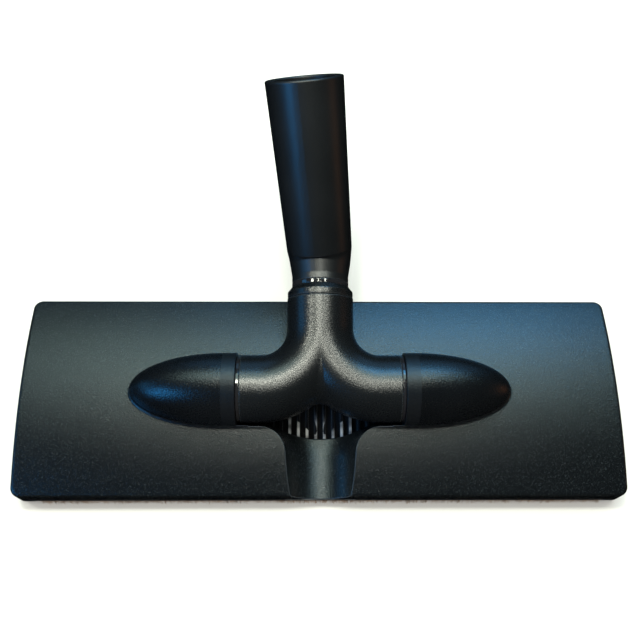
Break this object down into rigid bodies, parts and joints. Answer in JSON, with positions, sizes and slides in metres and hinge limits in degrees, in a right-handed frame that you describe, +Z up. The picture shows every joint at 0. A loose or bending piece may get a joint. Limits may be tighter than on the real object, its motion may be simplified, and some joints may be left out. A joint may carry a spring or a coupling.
{
  "type": "vacuum floor brush head",
  "caption": "Black 300 mm vacuum floor brush head with a twin-elbow swivel yoke, bent wand tube and natural bristle strips.",
  "frame": {"origin": "on the floor, in the middle of the whole part's footprint at rest", "axes": "+X along the head, +Y to the back where the wand joins, +Z up"},
  "size_m": [0.3, 0.196, 0.113],
  "materials": {
    "textured_black": "fine spark-eroded satin",
    "gloss_black": "polished",
    "carrier_black": "satin",
    "natural_bristle": "brown natural hair",
    "roller_grey": "soft matt",
    "plated_steel": "zinc plated",
    "seal_rubber": "matt"
  },
  "bodies": {
    "head": {"top_cover": "textured_black", "base_plate": "gloss_black", "sole_screws": "plated_steel", "front_carrier": "carrier_black", "rear_carrier": "carrier_black", "left_carrier": "carrier_black", "right_carrier": "carrier_black", "front_bristles": "natural_bristle", "rear_bristles": "natural_bristle", "left_bristles": "natural_bristle", "right_bristles": "natural_bristle", "left_roller_axle": "plated_steel", "right_roller_axle": "plated_steel", "left_arm_seal": "gloss_black", "right_arm_seal": "gloss_black"},
    "yoke": {"yoke_upper_shell": "textured_black", "yoke_lower_shell": "textured_black", "left_pivot_sleeve": "gloss_black", "right_pivot_sleeve": "gloss_black", "collar_ring": "textured_black"},
    "elbow": {"elbow_tube": "textured_black", "slip_ring": "gloss_black", "neck_seal": "seal_rubber"},
    "left_roller": {"left_roller": "roller_grey"},
    "right_roller": {"right_roller": "roller_grey"}
  },
  "joints": [
    {"name": "yoke_tilt", "type": "hinge", "parent": "head", "child": "yoke", "pos_m": [0, -0.0467, 0.0264], "axis": [1, 0, 0], "range_deg": [-9.5, 165.5]},
    {"name": "elbow_swivel", "type": "hinge", "parent": "yoke", "child": "elbow", "pos_m": [0, 0.01942, 0.04045], "axis": [0, 0.9781, 0.2079], "continuous": true},
    {"name": "left_roller_spin", "type": "hinge", "parent": "head", "child": "left_roller", "pos_m": [-0.082, -0.0177, 0.0079], "axis": [1, 0, 0], "continuous": true},
    {"name": "right_roller_spin", "type": "hinge", "parent": "head", "child": "right_roller", "pos_m": [0.082, -0.0177, 0.0079], "axis": [1, 0, 0], "continuous": true}
  ]
}
